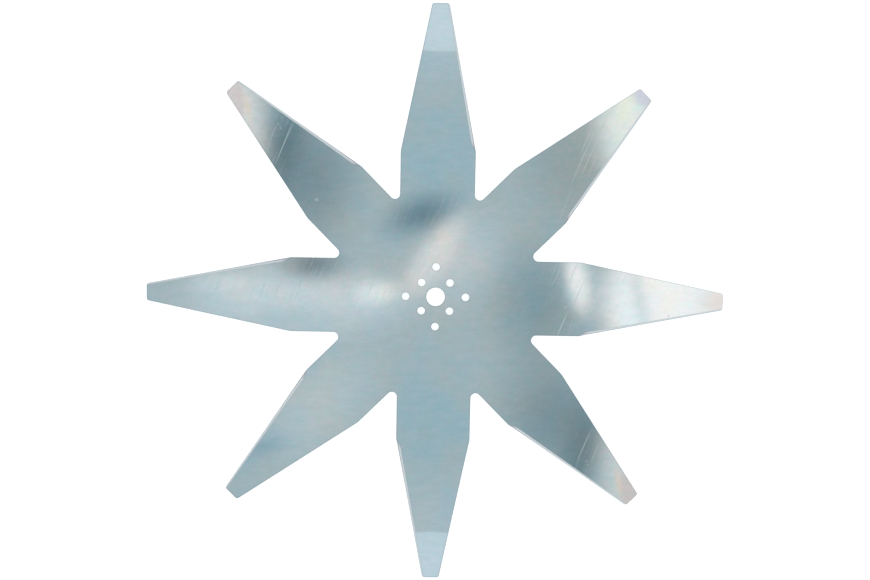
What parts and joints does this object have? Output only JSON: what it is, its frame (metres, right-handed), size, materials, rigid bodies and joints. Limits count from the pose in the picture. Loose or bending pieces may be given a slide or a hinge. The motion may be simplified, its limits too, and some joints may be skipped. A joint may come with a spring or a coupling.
{
  "type": "rotary mower blade",
  "caption": "Flat star-shaped mower blade punched from plated sheet steel: tapered points with ground cutting edges around a hub with a spindle bore and screw holes.",
  "frame": {"origin": "centre of the spindle bore on the seating face, which is the underside", "axes": "+Z along the spindle axis and up, out of the face with the ground edges; +X along one point"},
  "size_m": [0.25, 0.25, 0.0012],
  "materials": {
    "zinc_plated_steel": "bright zinc plating with a clear blue passivation, satin, with fine scratches"
  },
  "bodies": {
    "root": {"blade": "zinc_plated_steel"}
  },
  "joints": []
}
